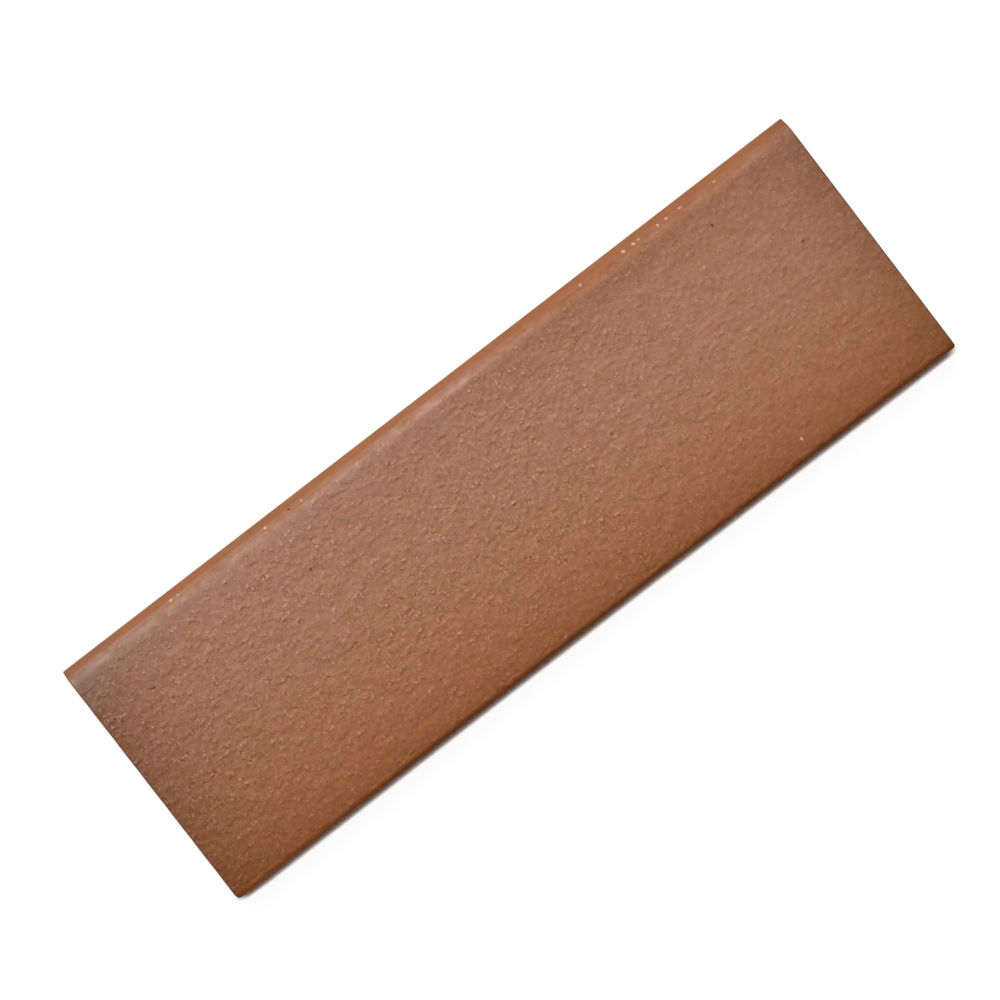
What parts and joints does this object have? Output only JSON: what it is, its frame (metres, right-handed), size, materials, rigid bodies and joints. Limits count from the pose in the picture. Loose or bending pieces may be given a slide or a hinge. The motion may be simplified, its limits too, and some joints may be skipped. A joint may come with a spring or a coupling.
{
  "type": "clinker brick slip",
  "caption": "Thin fired clay facing slip with a sanded face, rounded long arrises and a dovetail-keyed back, bonded to a wall to show as a brick course.",
  "frame": {"origin": "centre of the keyed back, level with the crests of its ribs", "axes": "+X along the slip's length, +Y across its width, +Z out of the face"},
  "size_m": [0.21, 0.066, 0.014],
  "materials": {
    "fired_clay": "matte, fine sanded grain"
  },
  "bodies": {
    "root": {"brick_slip": "fired_clay"}
  },
  "joints": []
}
